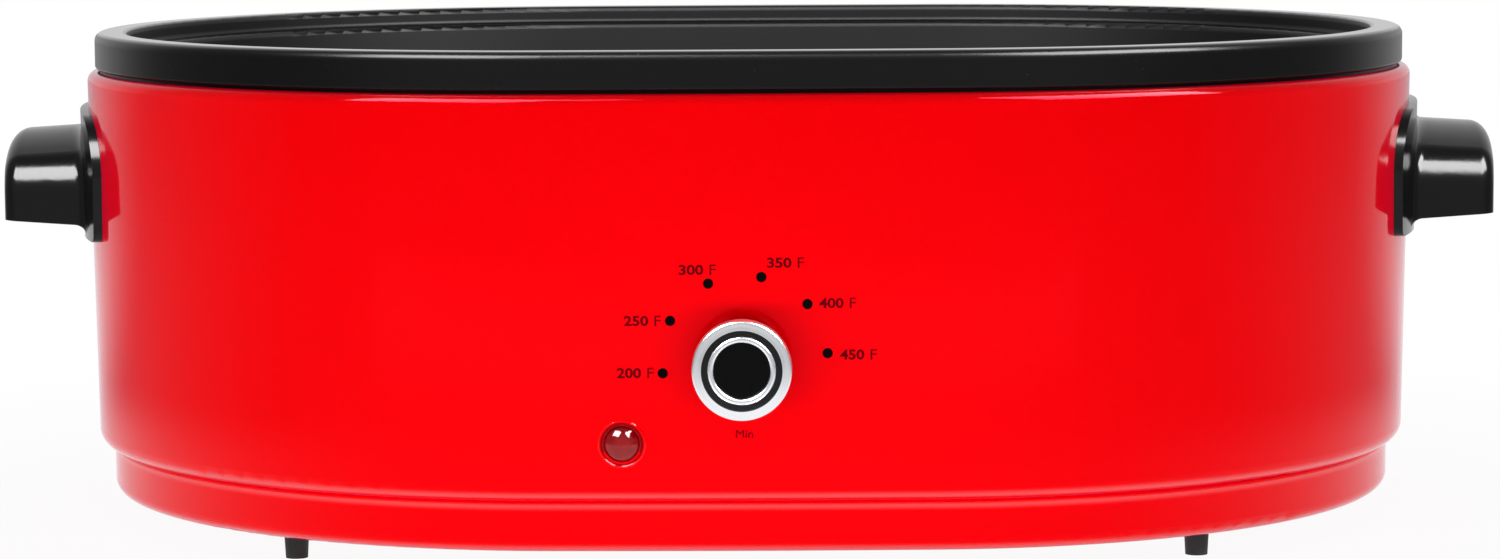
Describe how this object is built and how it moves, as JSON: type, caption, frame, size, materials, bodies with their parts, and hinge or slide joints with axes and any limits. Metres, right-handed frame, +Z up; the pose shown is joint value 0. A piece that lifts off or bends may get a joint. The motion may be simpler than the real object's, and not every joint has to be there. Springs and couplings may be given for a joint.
{
  "type": "electric roaster oven",
  "caption": "Oval enamelled electric roaster oven with a lift-out cooking well, a thermostat knob, a pilot lamp and a moulded handle at each end",
  "frame": {"origin": "on the ground, in the middle of the length and of the depth with the knob", "axes": "+Z up, +X along the length to the right of someone facing the knob, +Y away from them to the back"},
  "size_m": [0.5846, 0.4148, 0.1895],
  "materials": {
    "red_enamel": "gloss enamel",
    "black_enamel": "gloss porcelain enamel",
    "aluminised_steel": "satin",
    "zinc_steel": "zinc plated",
    "spring_steel": "satin",
    "chrome_trim": "mirror",
    "brass": "satin",
    "black_plastic": "satin phenolic",
    "black_face": "gloss",
    "red_lens": "translucent red",
    "clear_glass": "clear",
    "foot_rubber": "satin",
    "glass_wool": "felted fibre",
    "mica": "mica sheet",
    "resistance_alloy": "oxidised ribbon",
    "ceramic": "unglazed ceramic",
    "terminal_nylon": "nylon",
    "lead_black": "insulated lead",
    "lead_white": "insulated lead",
    "lead_green": "insulated lead"
  },
  "bodies": {
    "body": {"outer_shell": "red_enamel", "base_pan": "red_enamel", "heatwell": "aluminised_steel", "heater_band": "mica", "heating_ribbon": "resistance_alloy", "element_tabs": "brass", "band_lugs": "zinc_steel", "band_springs": "spring_steel", "insulation_blanket": "glass_wool", "heat_shield": "aluminised_steel", "tie_studs": "zinc_steel", "upper_spacers": "zinc_steel", "lower_spacers": "zinc_steel", "tie_nuts": "zinc_steel", "foot_screws": "zinc_steel", "foot_nuts": "zinc_steel", "handle_plates": "zinc_steel", "handle_screws": "zinc_steel", "terminal_block": "terminal_nylon", "terminal_screws": "zinc_steel", "earth_screw": "brass", "pilot_leads": "lead_white", "lead_live": "lead_black", "lead_load": "lead_black", "lead_neutral": "lead_white", "lead_earth": "lead_green", "foot_front_left": "foot_rubber", "foot_front_right": "foot_rubber", "foot_rear_left": "foot_rubber", "foot_rear_right": "foot_rubber", "handle_right": "black_plastic", "handle_left": "black_plastic", "thermostat_bushing": "brass", "thermostat_nut": "zinc_steel", "bushing_washer": "zinc_steel", "thermostat_plate": "zinc_steel", "thermostat_body": "ceramic", "thermostat_tabs": "brass", "contact_blades": "brass", "sensor_blade": "spring_steel", "pilot_lens": "red_lens", "pilot_retainer": "spring_steel", "pilot_socket": "black_plastic", "pilot_bulb": "clear_glass", "cord_gland": "black_plastic", "gland_nut": "black_plastic"},
    "knob": {"knob_body": "black_plastic", "knob_bezel": "chrome_trim", "knob_ring": "chrome_trim", "knob_cap": "black_face", "knob_spring": "spring_steel", "thermostat_shaft": "zinc_steel", "thermostat_cam": "brass"},
    "cookwell": {"cookwell": "black_enamel"}
  },
  "joints": [
    {"name": "knob_turn", "type": "hinge", "parent": "body", "child": "knob", "pos_m": [0, -0.18543, 0.0785], "axis": [0, 1, 0], "range_deg": [0, 264]},
    {"name": "cookwell_lift", "type": "slide", "parent": "body", "child": "cookwell", "axis": [0, 0, 1], "range_m": [0, 0.2]}
  ]
}
